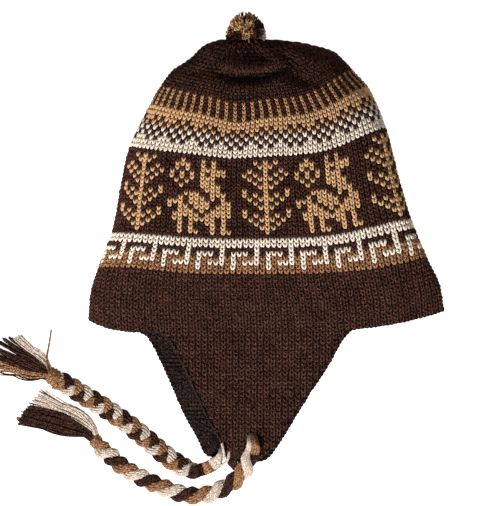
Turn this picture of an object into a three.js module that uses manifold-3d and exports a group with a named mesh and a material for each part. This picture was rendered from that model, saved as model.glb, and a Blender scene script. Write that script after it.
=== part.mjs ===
// A knitted chullo hat lying on its side: a hollow cap with two ear flaps, a yarn pompom at its top,
// and a braided tie with a bound tassel at the tip of each flap.
// Millimetres, +Z up. The hat lies on z = 0 with its crown towards +Y and its flaps towards -Y.
// The "near" flap and tie belong to the upper wall, the "far" ones to the wall that lies on the surface.
import * as THREE from "three";
import { mergeVertices } from "three/addons/utils/BufferGeometryUtils.js";
import Module from "manifold-3d";

// Driving sizes of the cap
const RIM_WIDTH = 264; // across the flattened rim, from fold to fold
const CROWN_HEIGHT = 215.5; // from the middle of the rim to the top of the crown
const LOFT = 68; // how high the upper wall stands at the middle of the crown
const WALL = 4; // thickness of the knitted wall
const REST_FLAT = 0.8; // how much the lower wall is pressed flat where it rests
const EDGE_ROUND = 1.2; // how far the rolled edge stands out past the wall

// Driving sizes of the ear flaps
const FLAP_LENGTH = 96; // from the rim to the tip of the near flap
const FAR_FLAP_LENGTH = 92.5; // the same on the far flap
const FLAP_WIDTH = 142; // across the near flap where it leaves the rim
const FAR_FLAP_WIDTH = 134; // the same on the far flap
const FLAP_SHIFT = -8; // middle of the near flap from the middle of the rim
const FAR_FLAP_SHIFT = -27; // middle of the far flap from the middle of the rim
const FLAP_GAP = 1.3; // air between the tips of the two flaps

// Driving sizes of the pompom
const POMPOM_HEIGHT = 20.5; // from the top of the crown to its highest strand
const POMPOM_REACH = 15.5; // from its middle to the end of a sideways strand
const POMPOM_CORE = 6; // radius of its bound middle
const LOCK_ROOT = 1.3; // radius of a pompom lock at the core
const LOCK_TIP = 2.5; // radius of a pompom lock at its cut end

// Driving sizes of the ties and tassels
const TIE_WIDTH = 13; // across the braid
const TIE_THICK = 9; // through the braid
const BINDING_LENGTH = 6; // length of the wound thread at a tie's end
const BINDING_EXTRA = 0.8; // how far the winding stands out past the braid's thickness
const STRAND_ROOT = 2; // radius of a tassel lock at its binding
const STRAND_TIP = 2.7; // radius of a tassel lock at its cut end
const SEAT = 0.3; // air left between pieces that touch
const FLOOR_GAP = 0.05; // air under the tassels and bindings

// How finely the curved forms are divided
const UPPER_COLUMNS = 28; // columns of the upper wall, from fold to fold
const LOWER_COLUMNS = 32; // columns of the lower wall
const RINGS = 27; // rings of the crown between its top and the rim
const RING_CROWDING = 1.5; // above 1 the rings stand closer near the top
const FLAP_ROWS = 9; // rows of a flap
const TIE_STEPS = 26;
const TIE_SIDES = 10;
const LOCK_STEPS = 4;
const LOCK_SIDES = 6;

// The hat's length is shared out evenly about the origin.
const TIP_Y = -(FLAP_LENGTH + CROWN_HEIGHT + POMPOM_HEIGHT) / 2;
const RIM_Y = TIP_Y + FLAP_LENGTH;
const TOP_Y = RIM_Y + CROWN_HEIGHT;
const HALF_RIM = RIM_WIDTH / 2;

// Rings of the crown. cloth is the share of the knitted length from top to rim, down the share of
// CROWN_HEIGHT that the ring's middle lies below the top, left and right the shares of HALF_RIM that its
// folds lie from the middle, rise_left and rise_right the shares of CROWN_HEIGHT that its folds lie
// above its middle, loft and lift the shares of LOFT that it is thick and that it stands off the
// surface, and hook how suddenly the ring turns up at its left fold.
const RING_TABLE = [
  { cloth: 0.0, down: 0.0, left: -0.116, right: -0.114, rise_left: 0.0, rise_right: 0.0, loft: 0.02, lift: 0.46, hook: 2.6 },
  { cloth: 0.016, down: 0.008, left: -0.24, right: 0.03, rise_left: 0.008, rise_right: 0.008, loft: 0.28, lift: 0.33, hook: 2.6 },
  { cloth: 0.055, down: 0.05, left: -0.345, right: 0.2, rise_left: 0.031, rise_right: 0.038, loft: 0.55, lift: 0.19, hook: 2.6 },
  { cloth: 0.11, down: 0.106, left: -0.43, right: 0.365, rise_left: 0.039, rise_right: 0.067, loft: 0.78, lift: 0.08, hook: 2.6 },
  { cloth: 0.164, down: 0.154, left: -0.524, right: 0.43, rise_left: 0.049, rise_right: 0.083, loft: 0.91, lift: 0.02, hook: 2.6 },
  { cloth: 0.233, down: 0.207, left: -0.588, right: 0.49, rise_left: 0.05, rise_right: 0.095, loft: 0.98, lift: 0.0, hook: 2.6 },
  { cloth: 0.301, down: 0.269, left: -0.647, right: 0.574, rise_left: 0.051, rise_right: 0.099, loft: 1.0, lift: 0.0, hook: 2.6 },
  { cloth: 0.425, down: 0.403, left: -0.765, right: 0.67, rise_left: 0.038, rise_right: 0.094, loft: 1.0, lift: 0.0, hook: 2.6 },
  { cloth: 0.562, down: 0.541, left: -0.818, right: 0.736, rise_left: 0.03, rise_right: 0.077, loft: 0.97, lift: 0.0, hook: 2.8 },
  { cloth: 0.699, down: 0.681, left: -0.868, right: 0.812, rise_left: 0.021, rise_right: 0.063, loft: 0.9, lift: 0.0, hook: 3.2 },
  { cloth: 0.808, down: 0.801, left: -0.944, right: 0.896, rise_left: 0.021, rise_right: 0.06, loft: 0.8, lift: 0.0, hook: 4.0 },
  { cloth: 0.904, down: 0.9, left: -0.989, right: 0.968, rise_left: 0.03, rise_right: 0.066, loft: 0.66, lift: 0.0, hook: 6.0 },
  { cloth: 1.0, down: 1.0, left: -1.0, right: 1.0, rise_left: 0.042, rise_right: 0.074, loft: 0.5, lift: 0.0, hook: 8.0 },
];

// Dents and swellings of the upper wall. cloth and across place the middle (across runs from -1 at the
// left fold to 1 at the right one), long and wide are how far it spreads in those shares, lean tilts it,
// bend turns its two ends towards the top, and depth is the share of LOFT that the wall sinks, negative
// where it swells.
const DENT_TABLE = [
  { cloth: 0.147, across: -0.12, long: 0.022, wide: 0.46, lean: -0.02, bend: 0.12, depth: 0.095 },
  { cloth: 0.114, across: -0.15, long: 0.018, wide: 0.5, lean: -0.02, bend: 0.115, depth: -0.032 },
  { cloth: 0.072, across: -0.22, long: 0.03, wide: 0.4, lean: 0.0, bend: 0.05, depth: 0.035 },
  { cloth: 0.1, across: 0.47, long: 0.05, wide: 0.13, lean: 0.0, bend: 0.0, depth: 0.055 },
  { cloth: 0.05, across: 0.27, long: 0.03, wide: 0.16, lean: 0.0, bend: 0.0, depth: -0.025 },
  { cloth: 0.16, across: 0.45, long: 0.035, wide: 0.26, lean: 0.2, bend: 0.0, depth: 0.05 },
  { cloth: 0.15, across: -0.78, long: 0.03, wide: 0.16, lean: 0.0, bend: 0.0, depth: 0.04 },
  { cloth: 0.4, across: 0.35, long: 0.12, wide: 0.4, lean: 0.05, bend: 0.0, depth: -0.03 },
  { cloth: 0.62, across: -0.3, long: 0.1, wide: 0.35, lean: -0.06, bend: 0.0, depth: 0.025 },
  { cloth: 0.84, across: 0.45, long: 0.09, wide: 0.3, lean: 0.04, bend: 0.0, depth: 0.03 },
];

// Outline of a flap: how far it reaches, as a share of its length, at shares of its width.
const FLAP_TABLE = [
  { across: 0.0, reach: 0.0 },
  { across: 0.05, reach: 0.05 },
  { across: 0.15, reach: 0.34 },
  { across: 0.25, reach: 0.67 },
  { across: 0.32, reach: 0.85 },
  { across: 0.36, reach: 0.98 },
  { across: 0.4, reach: 1.0 },
  { across: 0.53, reach: 1.0 },
  { across: 0.58, reach: 0.95 },
  { across: 0.67, reach: 0.745 },
  { across: 0.77, reach: 0.5 },
  { across: 0.88, reach: 0.254 },
  { across: 0.95, reach: 0.07 },
  { across: 1.0, reach: 0.0 },
];
const FLAP_FALL = 1.25; // above 1 the near flap falls quickly at first and then lies flatter

// Locks of a tassel: angle in degrees from the tie's own direction, the share of the longest lock, and
// how far the lock bends sideways as a share of its length.
const FAR_LOCKS = [
  { angle: -21, length: 0.86, bend: -0.03 },
  { angle: -13, length: 0.95, bend: -0.02 },
  { angle: -4, length: 0.97, bend: 0.0 },
  { angle: 5, length: 1.0, bend: 0.0 },
  { angle: 14, length: 0.95, bend: 0.0 },
  { angle: 24, length: 0.9, bend: 0.02 },
  { angle: 34, length: 0.88, bend: 0.04 },
];
const NEAR_LOCKS = [
  { angle: 8, length: 0.74, bend: -0.12 },
  { angle: 17, length: 0.84, bend: -0.1 },
  { angle: 26, length: 0.9, bend: -0.08 },
  { angle: 34, length: 0.95, bend: -0.06 },
  { angle: 42, length: 1.0, bend: -0.04 },
  { angle: 50, length: 0.82, bend: -0.02 },
];
const FAR_TASSEL_LENGTH = 42;
const NEAR_TASSEL_LENGTH = 56;

// The routes of the ties, from where they leave their flap to their binding: points chosen by hand.
const NEAR_ROUTE = [
  [-10.4, -148.5, 17.7], [-11.8, -157.0, 16.1], [-14.0, -165.5, 14.7], [-17.2, -172.5, 11.8],
  [-21.8, -178.2, 8.6], [-28.0, -183.4, 5.6], [-35.6, -187.3, 4.9], [-43.6, -190.2, 4.9],
  [-51.8, -191.2, 4.9], [-60.4, -190.2, 4.9], [-70.0, -187.7, 4.9], [-81.0, -183.3, 4.9],
  [-92.5, -178.2, 4.9], [-103.0, -172.7, 4.9], [-111.2, -166.8, 4.9], [-117.3, -161.0, 4.9],
  [-121.6, -158.4, 4.9], [-124.7, -154.7, 4.9],
];
const FAR_ROUTE = [
  [-40.6, -155.6, 9.6], [-41.2, -162.0, 9.4], [-43.4, -168.0, 7.6], [-48.6, -172.3, 5.4],
  [-55.8, -173.4, 4.9], [-63.4, -171.4, 4.9], [-71.0, -167.0, 4.9], [-79.0, -161.0, 4.9],
  [-87.2, -154.0, 4.9], [-95.4, -147.0, 4.9], [-104.2, -140.2, 4.9], [-113.6, -133.3, 4.9],
  [-123.2, -126.7, 4.9], [-132.8, -120.7, 4.9], [-141.8, -114.8, 4.9], [-149.6, -109.9, 4.9],
  [-155.5, -106.2, 4.9],
];

// Colours of the yarns
const COCOA = 0x3a241d;
const CREAM = 0xe6d9c6;
const GOLD = 0xc79a62;
const RUST = 0xa96a3b;

const wasm = await Module();
wasm.setup();

const clamp01 = (t) => Math.min(1, Math.max(0, t));
const mix = (a, b, t) => a + (b - a) * t;

// A table's column at a place along its key column, smooth through every row.
function smooth(table, key, place, column) {
  const last = table.length - 1;
  const x = Math.min(table[last][key], Math.max(table[0][key], place));
  let k = 0;
  while (k < last - 1 && table[k + 1][key] < x) k += 1;
  const slope = (i) => {
    const a = table[Math.max(0, i - 1)];
    const b = table[Math.min(last, i + 1)];
    return (b[column] - a[column]) / (b[key] - a[key]);
  };
  const step = table[k + 1][key] - table[k][key];
  const t = (x - table[k][key]) / step;
  const rest = 1 - t;
  return (
    (1 + 2 * t) * rest * rest * table[k][column] +
    t * rest * rest * step * slope(k) +
    t * t * (3 - 2 * t) * table[k + 1][column] -
    t * t * rest * step * slope(k + 1)
  );
}

// How far the upper wall sinks at a place on it.
function dent(cloth, across) {
  let depth = 0;
  for (const d of DENT_TABLE) {
    const off = across - d.across;
    const side = off / d.wide;
    const length = (cloth - d.cloth - d.lean * off + d.bend * off * off) / d.long;
    depth += d.depth * LOFT * Math.exp(-side * side - length * length);
  }
  return depth;
}

// A ring of the crown at a share of the cloth. inset is 0 on the outside and WALL on the inside.
function ringAt(cloth, inset) {
  const column = (name) => smooth(RING_TABLE, "cloth", cloth, name);
  const left = HALF_RIM * column("left");
  const right = HALF_RIM * column("right");
  const nearTop = 1 - clamp01(cloth / 0.2);
  return {
    cloth,
    inset,
    middle: (left + right) / 2,
    half: (right - left) / 2 - inset,
    y: TOP_Y - CROWN_HEIGHT * column("down") - inset * nearTop,
    rise: [CROWN_HEIGHT * column("rise_left"), CROWN_HEIGHT * column("rise_right")],
    hook: column("hook"),
    thick: LOFT * column("loft"),
    lift: LOFT * column("lift"),
  };
}

const UPPER_BELLY = 3; // the upper wall arches from fold to fold
const LOWER_BELLY = 8; // the lower wall is flat almost to the folds
const SAG = 2.6; // how gradually a ring droops between its folds

// A point of a ring. across runs from -1 at the left fold to 1 at the right one.
function ringPoint(ring, across, upper) {
  const { half, thick, inset } = ring;
  const middleZ = ring.lift + thick / 2;
  const bow = (power) => Math.sqrt(Math.max(0, 1 - Math.abs(across) ** power));
  const swell = thick / 2 - inset;
  const z = upper
    ? middleZ + swell * bow(UPPER_BELLY) - dent(ring.cloth, across) * bow(UPPER_BELLY)
    : Math.max(inset, middleZ - swell * bow(LOWER_BELLY) - REST_FLAT);
  const rise = mix(ring.rise[0], ring.rise[1], (across + 1) / 2);
  const power = across < 0 ? ring.hook : SAG;
  const y = ring.y + rise * Math.abs(across) ** power;
  return new THREE.Vector3(ring.middle + half * across, y, z);
}

// The places of the columns across a wall, so that they stand evenly along the cloth.
function evenPlaces(ring, upper, count) {
  const fine = 400;
  const places = [];
  const lengths = [0];
  let before = null;
  for (let i = 0; i <= fine; i += 1) {
    const across = -Math.cos((Math.PI * i) / fine);
    const point = ringPoint(ring, across, upper);
    if (before) lengths.push(lengths[i - 1] + point.distanceTo(before));
    places.push(across);
    before = point;
  }
  const even = [];
  let k = 0;
  for (let j = 0; j <= count; j += 1) {
    const want = (lengths[fine] * j) / count;
    while (k < fine - 1 && lengths[k + 1] < want) k += 1;
    const share = (want - lengths[k]) / (lengths[k + 1] - lengths[k]);
    even.push(mix(places[k], places[k + 1], clamp01(share)));
  }
  return even;
}

// All columns of a ring: the upper wall from left to right, then the lower wall back to the left.
function ringColumns(cloth, inset) {
  const outer = ringAt(cloth, 0);
  const ring = ringAt(cloth, inset);
  const upper = evenPlaces(outer, true, UPPER_COLUMNS);
  const lower = evenPlaces(outer, false, LOWER_COLUMNS).reverse();
  return [
    ...upper.slice(0, -1).map((across) => ringPoint(ring, across, true)),
    ...lower.slice(0, -1).map((across) => ringPoint(ring, across, false)),
  ];
}

// How far a flap reaches below the rim at a place across the rim.
function flapReach(x, shift, width, length) {
  const across = (x - shift) / width + 0.5;
  if (across <= 0 || across >= 1) return 0;
  return length * clamp01(smooth(FLAP_TABLE, "across", across, "reach"));
}

const FLAP_EDGE = 0.5; // a column reaching less than this stays part of the rim
const NEAR_TIP_Z = 2 * WALL + FLAP_GAP; // top of the near flap's tip, which lies on the far flap

// A point of a flap, a share of its column's reach below the rim.
function flapPoint(rim, reach, share, upper, inset) {
  const drop = reach * share;
  const fall = (1 - clamp01(drop / FLAP_LENGTH)) ** FLAP_FALL;
  const rest = NEAR_TIP_Z - inset;
  const z = upper ? rest + (rim.z - rest) * fall : rim.z;
  return new THREE.Vector3(rim.x, rim.y - drop, z);
}

// The knitted cap with its two flaps as one closed solid.
function capGeometry() {
  const columns = UPPER_COLUMNS + LOWER_COLUMNS;
  const points = [];
  const triangles = [];
  const add = (p) => points.push(p.x, p.y, p.z) / 3 - 1;
  const face = (a, b, c) => {
    if (a !== b && b !== c && c !== a) triangles.push(a, b, c);
  };
  const rimX = ringColumns(1, 0).map((p) => p.x);
  const reaches = rimX.map((x, i) => {
    const reach =
      i < UPPER_COLUMNS
        ? flapReach(x, FLAP_SHIFT, FLAP_WIDTH, FLAP_LENGTH)
        : flapReach(x, FAR_FLAP_SHIFT, FAR_FLAP_WIDTH, FAR_FLAP_LENGTH);
    return reach < FLAP_EDGE ? 0 : reach;
  });

  // One side of the wall: the rows of its columns from the top to the edge.
  const layer = (inset) => {
    const top = ringAt(0, inset);
    const pole = add(new THREE.Vector3(top.middle, top.y, top.lift + top.thick / 2));
    const rows = [];
    for (let k = 1; k <= RINGS; k += 1) {
      rows.push(ringColumns((k / RINGS) ** RING_CROWDING, inset).map(add));
    }
    const rim = ringColumns(1, inset);
    for (let j = 1; j <= FLAP_ROWS; j += 1) {
      rows.push(
        rim.map((p, i) =>
          reaches[i] === 0
            ? rows[RINGS - 1][i]
            : add(flapPoint(p, reaches[i], j / FLAP_ROWS, i < UPPER_COLUMNS, inset)),
        ),
      );
    }
    return { pole, rows };
  };
  const outside = layer(0);
  const inside = layer(WALL);

  const skin = ({ pole, rows }, outward) => {
    const turn = outward ? (a, b, c) => face(a, b, c) : (a, b, c) => face(a, c, b);
    for (let i = 0; i < columns; i += 1) {
      const next = (i + 1) % columns;
      turn(pole, rows[0][i], rows[0][next]);
      for (let k = 0; k + 1 < rows.length; k += 1) {
        turn(rows[k][i], rows[k + 1][i], rows[k + 1][next]);
        turn(rows[k][i], rows[k + 1][next], rows[k][next]);
      }
    }
  };
  skin(outside, true);
  skin(inside, false);

  // The rolled edge along the rim and round the flaps.
  const at = (index) => new THREE.Vector3().fromArray(points, index * 3);
  const outerEdge = outside.rows[outside.rows.length - 1];
  const innerEdge = inside.rows[inside.rows.length - 1];
  const rolled = outerEdge.map((index, i) => {
    const after = at(outerEdge[(i + 1) % columns]);
    const along = after.sub(at(outerEdge[(i + columns - 1) % columns])).normalize();
    const through = at(index).sub(at(innerEdge[i])).normalize();
    const out = along.cross(through).normalize();
    if (out.y > 0) out.negate();
    out.z = 0;
    return add(at(index).add(at(innerEdge[i])).multiplyScalar(0.5).addScaledVector(out, EDGE_ROUND));
  });
  for (let i = 0; i < columns; i += 1) {
    const next = (i + 1) % columns;
    face(outerEdge[i], rolled[i], rolled[next]);
    face(outerEdge[i], rolled[next], outerEdge[next]);
    face(rolled[i], innerEdge[i], innerEdge[next]);
    face(rolled[i], innerEdge[next], rolled[next]);
  }
  const geometry = new THREE.BufferGeometry();
  geometry.setAttribute("position", new THREE.Float32BufferAttribute(points, 3));
  geometry.setIndex(triangles);
  return geometry;
}

// A closed solid swept along a curve. Its section is an oval that stays level: sizes gives the half
// width and half height at a share of the curve's length.
function sweptGeometry(curve, steps, sides, sizes) {
  const up = new THREE.Vector3(0, 0, 1);
  const points = [];
  const triangles = [];
  for (let k = 0; k <= steps; k += 1) {
    const centre = curve.getPointAt(k / steps);
    const along = curve.getTangentAt(k / steps);
    const side = new THREE.Vector3().crossVectors(along, up);
    if (side.length() < 0.05) side.set(1, 0, 0);
    side.normalize();
    const rise = new THREE.Vector3().crossVectors(side, along).normalize();
    const [halfWidth, halfHeight] = sizes(k / steps);
    for (let s = 0; s < sides; s += 1) {
      const angle = (2 * Math.PI * (s + 0.5)) / sides;
      const p = centre
        .clone()
        .addScaledVector(side, halfWidth * Math.cos(angle))
        .addScaledVector(rise, halfHeight * Math.sin(angle));
      points.push(p.x, p.y, p.z);
    }
  }
  const start = points.length / 3;
  points.push(...curve.getPointAt(0).toArray(), ...curve.getPointAt(1).toArray());
  const ring = steps * sides;
  for (let s = 0; s < sides; s += 1) {
    const next = (s + 1) % sides;
    for (let k = 0; k < steps; k += 1) {
      const a = k * sides;
      const b = a + sides;
      triangles.push(a + s, b + next, a + next, a + s, b + s, b + next);
    }
    triangles.push(start, s, next, start + 1, ring + next, ring + s);
  }
  const geometry = new THREE.BufferGeometry();
  geometry.setAttribute("position", new THREE.Float32BufferAttribute(points, 3));
  geometry.setIndex(triangles);
  return geometry;
}

// A closed lock of yarn along a curve, from the radius at its root to the one at its cut end.
function lockGeometry(curve, rootRadius, tipRadius, steps) {
  return sweptGeometry(curve, steps, LOCK_SIDES, (share) => {
    const radius = mix(rootRadius, tipRadius, share);
    return [radius, radius];
  });
}

// A geometry as a solid that can be joined with others.
function solidOf(geometry) {
  const bare = geometry.clone();
  for (const name of Object.keys(bare.attributes)) {
    if (name !== "position") bare.deleteAttribute(name);
  }
  const merged = mergeVertices(bare, 1e-4);
  return new wasm.Manifold(
    new wasm.Mesh({
      numProp: 3,
      vertProperties: new Float32Array(merged.attributes.position.array),
      triVerts: new Uint32Array(merged.index.array),
    }),
  );
}

// Several closed geometries joined into one.
function fused(geometries) {
  const joined = geometries.map(solidOf).reduce((a, b) => a.add(b));
  const mesh = joined.getMesh();
  const geometry = new THREE.BufferGeometry();
  geometry.setAttribute("position", new THREE.Float32BufferAttribute(mesh.vertProperties, 3));
  geometry.setIndex([...mesh.triVerts]);
  return geometry;
}

// The pompom: a bound core with locks of cut yarn that fan out from it, in rings round the crown's axis.
const POMPOM_RINGS = [
  { tilt: 12, locks: 3, turn: 20, length: 1.0 },
  { tilt: 42, locks: 7, turn: 0, length: 0.96 },
  { tilt: 74, locks: 10, turn: 12, length: 1.0 },
];

function pompomGeometry() {
  const top = ringAt(0, 0);
  const centre = new THREE.Vector3(top.middle, TOP_Y + POMPOM_CORE + SEAT, top.lift + top.thick / 2);
  const core = new THREE.IcosahedronGeometry(POMPOM_CORE, 1).translate(centre.x, centre.y, centre.z);
  const parts = [core];
  const rise = POMPOM_HEIGHT - POMPOM_CORE - SEAT;
  for (const ring of POMPOM_RINGS) {
    const tilt = THREE.MathUtils.degToRad(ring.tilt);
    const tall = ring.length * Math.hypot(rise * Math.cos(tilt), POMPOM_REACH * Math.sin(tilt));
    for (let i = 0; i < ring.locks; i += 1) {
      const turn = THREE.MathUtils.degToRad(ring.turn + (360 * i) / ring.locks);
      const way = new THREE.Vector3(
        Math.sin(tilt) * Math.cos(turn),
        Math.cos(tilt),
        Math.sin(tilt) * Math.sin(turn),
      );
      const end = centre.clone().addScaledVector(way, tall);
      parts.push(lockGeometry(new THREE.LineCurve3(centre, end), LOCK_ROOT, LOCK_TIP, 1));
    }
  }
  return fused(parts);
}

const vectors = (rows) => rows.map((row) => new THREE.Vector3(...row));

// The plain solid of a braided tie along its route.
function tieGeometry(route) {
  const curve = new THREE.CatmullRomCurve3(vectors(route), false, "centripetal");
  return sweptGeometry(curve, TIE_STEPS, TIE_SIDES, () => [TIE_WIDTH / 2, TIE_THICK / 2]);
}

// Where a tie ends, and the level direction in which it ends there.
function tieEnd(route) {
  const curve = new THREE.CatmullRomCurve3(vectors(route), false, "centripetal");
  const way = curve.getTangentAt(1);
  way.z = 0;
  return { point: curve.getPointAt(1), way: way.normalize() };
}

// The thread wound round a tie's end: a short drum with rounded edges, lying level.
function bindingGeometry(route) {
  const { point, way } = tieEnd(route);
  const radius = TIE_THICK / 2 + BINDING_EXTRA;
  const waist = 0.82;
  const bulge = 0.3;
  const profile = [
    [0, 0],
    [radius * waist, 0],
    [radius, BINDING_LENGTH * bulge],
    [radius, BINDING_LENGTH * (1 - bulge)],
    [radius * waist, BINDING_LENGTH],
    [0, BINDING_LENGTH],
  ].map(([r, h]) => new THREE.Vector2(r, h));
  const drum = new THREE.LatheGeometry(profile, 12);
  drum.applyQuaternion(new THREE.Quaternion().setFromUnitVectors(new THREE.Vector3(0, 1, 0), way));
  const start = point.clone().addScaledVector(way, SEAT);
  return drum.translate(start.x, start.y, radius + FLOOR_GAP);
}

// A tassel: locks that fan out over the surface from a short head against the binding.
function tasselGeometry(route, locks, longest) {
  const { point, way } = tieEnd(route);
  const headRadius = TIE_THICK / 2;
  const headLength = 5;
  const level = headRadius + SEAT;
  const start = point.clone().addScaledVector(way, BINDING_LENGTH + 2 * SEAT);
  start.z = level;
  const head = new THREE.CylinderGeometry(headRadius, headRadius, headLength, 10);
  head.applyQuaternion(new THREE.Quaternion().setFromUnitVectors(new THREE.Vector3(0, 1, 0), way));
  const middle = start.clone().addScaledVector(way, headLength / 2);
  head.translate(middle.x, middle.y, middle.z);
  const root = start.clone().addScaledVector(way, STRAND_TIP);
  const parts = [head];
  for (const lock of locks) {
    const angle = THREE.MathUtils.degToRad(lock.angle);
    const aim = way.clone().applyAxisAngle(new THREE.Vector3(0, 0, 1), angle);
    const side = new THREE.Vector3(-aim.y, aim.x, 0);
    const long = longest * lock.length - STRAND_TIP;
    const end = root.clone().addScaledVector(aim, long);
    end.z = STRAND_TIP + FLOOR_GAP;
    const bow = root.clone().addScaledVector(aim, long / 2).addScaledVector(side, long * lock.bend);
    bow.z = (level + end.z) / 2;
    const curve = new THREE.QuadraticBezierCurve3(root, bow, end);
    parts.push(lockGeometry(curve, STRAND_ROOT, STRAND_TIP, LOCK_STEPS));
  }
  return fused(parts);
}

function piece(name, geometry, color, roughness) {
  const mesh = new THREE.Mesh(geometry, new THREE.MeshStandardMaterial({ color, roughness, metalness: 0 }));
  mesh.name = name;
  return mesh;
}

const hat = new THREE.Group();
hat.add(
  piece("cap", capGeometry(), COCOA, 0.95),
  piece("pompom", pompomGeometry(), GOLD, 0.95),
  piece("tie_near", tieGeometry(NEAR_ROUTE), CREAM, 0.9),
  piece("tie_far", tieGeometry(FAR_ROUTE), RUST, 0.9),
  piece("binding_near", bindingGeometry(NEAR_ROUTE), COCOA, 0.9),
  piece("binding_far", bindingGeometry(FAR_ROUTE), GOLD, 0.9),
  piece("tassel_near", tasselGeometry(NEAR_ROUTE, NEAR_LOCKS, NEAR_TASSEL_LENGTH), COCOA, 0.95),
  piece("tassel_far", tasselGeometry(FAR_ROUTE, FAR_LOCKS, FAR_TASSEL_LENGTH), COCOA, 0.95),
);

export default hat;
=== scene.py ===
"""A knitted chullo hat that lies on its side: every stitch, braid strand and cut yarn end as a mesh."""

import math

import bpy
import numpy as np
from bpy.props import (
    FloatProperty,
    FloatVectorProperty,
    IntProperty,
    PointerProperty,
)
from bpy.types import Operator, Panel, PropertyGroup
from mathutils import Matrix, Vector


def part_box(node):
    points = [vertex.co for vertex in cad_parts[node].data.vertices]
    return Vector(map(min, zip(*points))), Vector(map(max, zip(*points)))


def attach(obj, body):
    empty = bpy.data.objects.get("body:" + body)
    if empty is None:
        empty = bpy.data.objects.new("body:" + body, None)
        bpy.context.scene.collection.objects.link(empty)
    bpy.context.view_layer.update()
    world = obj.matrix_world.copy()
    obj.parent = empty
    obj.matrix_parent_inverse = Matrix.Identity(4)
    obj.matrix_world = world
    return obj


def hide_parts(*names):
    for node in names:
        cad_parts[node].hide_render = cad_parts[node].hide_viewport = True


bl_info = {
    "name": "Chullo hat",
    "version": (1, 0, 0),
    "blender": (4, 5, 0),
    "location": "View3D > Sidebar > Chullo",
    "description": "Knits a chullo hat with braided ties, tassels and a pompom",
    "category": "Add Mesh",
}

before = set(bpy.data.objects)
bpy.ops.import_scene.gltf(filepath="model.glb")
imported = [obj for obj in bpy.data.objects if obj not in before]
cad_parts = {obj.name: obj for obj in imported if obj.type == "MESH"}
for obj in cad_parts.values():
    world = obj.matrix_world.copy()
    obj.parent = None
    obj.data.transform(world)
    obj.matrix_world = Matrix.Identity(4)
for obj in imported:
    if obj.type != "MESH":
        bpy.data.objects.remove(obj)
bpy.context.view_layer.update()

MM = 0.001
BODY = "root"
SEED = 11

# The lying cap, as shares of its driving sizes. cloth is the share of the knitted length from the top to
# the rim, down the share of the crown height that the ring's middle lies below the top, left and right
# the shares of half the rim that its folds lie from the middle, rise_left and rise_right how far its
# folds lie above its middle, loft and lift its thickness and its height off the surface, and hook how
# suddenly it turns up at its left fold.
RING_COLUMNS = ("cloth", "down", "left", "right", "rise_left", "rise_right", "loft", "lift", "hook")
RING_TABLE = [
    (0.0, 0.0, -0.116, -0.114, 0.0, 0.0, 0.02, 0.46, 2.6),
    (0.016, 0.008, -0.24, 0.03, 0.008, 0.008, 0.28, 0.33, 2.6),
    (0.055, 0.05, -0.345, 0.2, 0.031, 0.038, 0.55, 0.19, 2.6),
    (0.11, 0.106, -0.43, 0.365, 0.039, 0.067, 0.78, 0.08, 2.6),
    (0.164, 0.154, -0.524, 0.43, 0.049, 0.083, 0.91, 0.02, 2.6),
    (0.233, 0.207, -0.588, 0.49, 0.05, 0.095, 0.98, 0.0, 2.6),
    (0.301, 0.269, -0.647, 0.574, 0.051, 0.099, 1.0, 0.0, 2.6),
    (0.425, 0.403, -0.765, 0.67, 0.038, 0.094, 1.0, 0.0, 2.6),
    (0.562, 0.541, -0.818, 0.736, 0.03, 0.077, 0.97, 0.0, 2.8),
    (0.699, 0.681, -0.868, 0.812, 0.021, 0.063, 0.9, 0.0, 3.2),
    (0.808, 0.801, -0.944, 0.896, 0.021, 0.06, 0.8, 0.0, 4.0),
    (0.904, 0.9, -0.989, 0.968, 0.03, 0.066, 0.66, 0.0, 6.0),
    (1.0, 1.0, -1.0, 1.0, 0.042, 0.074, 0.5, 0.0, 8.0),
]
DENT_COLUMNS = ("cloth", "across", "long", "wide", "lean", "bend", "depth")
DENT_TABLE = [
    (0.147, -0.12, 0.022, 0.46, -0.02, 0.12, 0.095),
    (0.114, -0.15, 0.018, 0.5, -0.02, 0.115, -0.032),
    (0.072, -0.22, 0.03, 0.4, 0.0, 0.05, 0.035),
    (0.1, 0.47, 0.05, 0.13, 0.0, 0.0, 0.055),
    (0.05, 0.27, 0.03, 0.16, 0.0, 0.0, -0.025),
    (0.16, 0.45, 0.035, 0.26, 0.2, 0.0, 0.05),
    (0.15, -0.78, 0.03, 0.16, 0.0, 0.0, 0.04),
    (0.4, 0.35, 0.12, 0.4, 0.05, 0.0, -0.03),
    (0.62, -0.3, 0.1, 0.35, -0.06, 0.0, 0.025),
    (0.84, 0.45, 0.09, 0.3, 0.04, 0.0, 0.03),
]
FLAP_COLUMNS = ("across", "reach")
FLAP_TABLE = [
    (0.0, 0.0), (0.05, 0.05), (0.15, 0.34), (0.25, 0.67), (0.32, 0.85), (0.36, 0.98), (0.4, 1.0),
    (0.53, 1.0), (0.58, 0.95), (0.67, 0.745), (0.77, 0.5), (0.88, 0.254), (0.95, 0.07), (1.0, 0.0),
]
UPPER_BELLY = 3
LOWER_BELLY = 8
SAG = 2.6
FLAP_FALL = 1.25

# The yarns by number; the sixth is a colour of painted shade, not a yarn of its own.
COCOA, GOLD, RUST, CREAM, TAN, PAINTED_SHADE, BRONZE, IVORY, UMBER = range(9)

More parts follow.
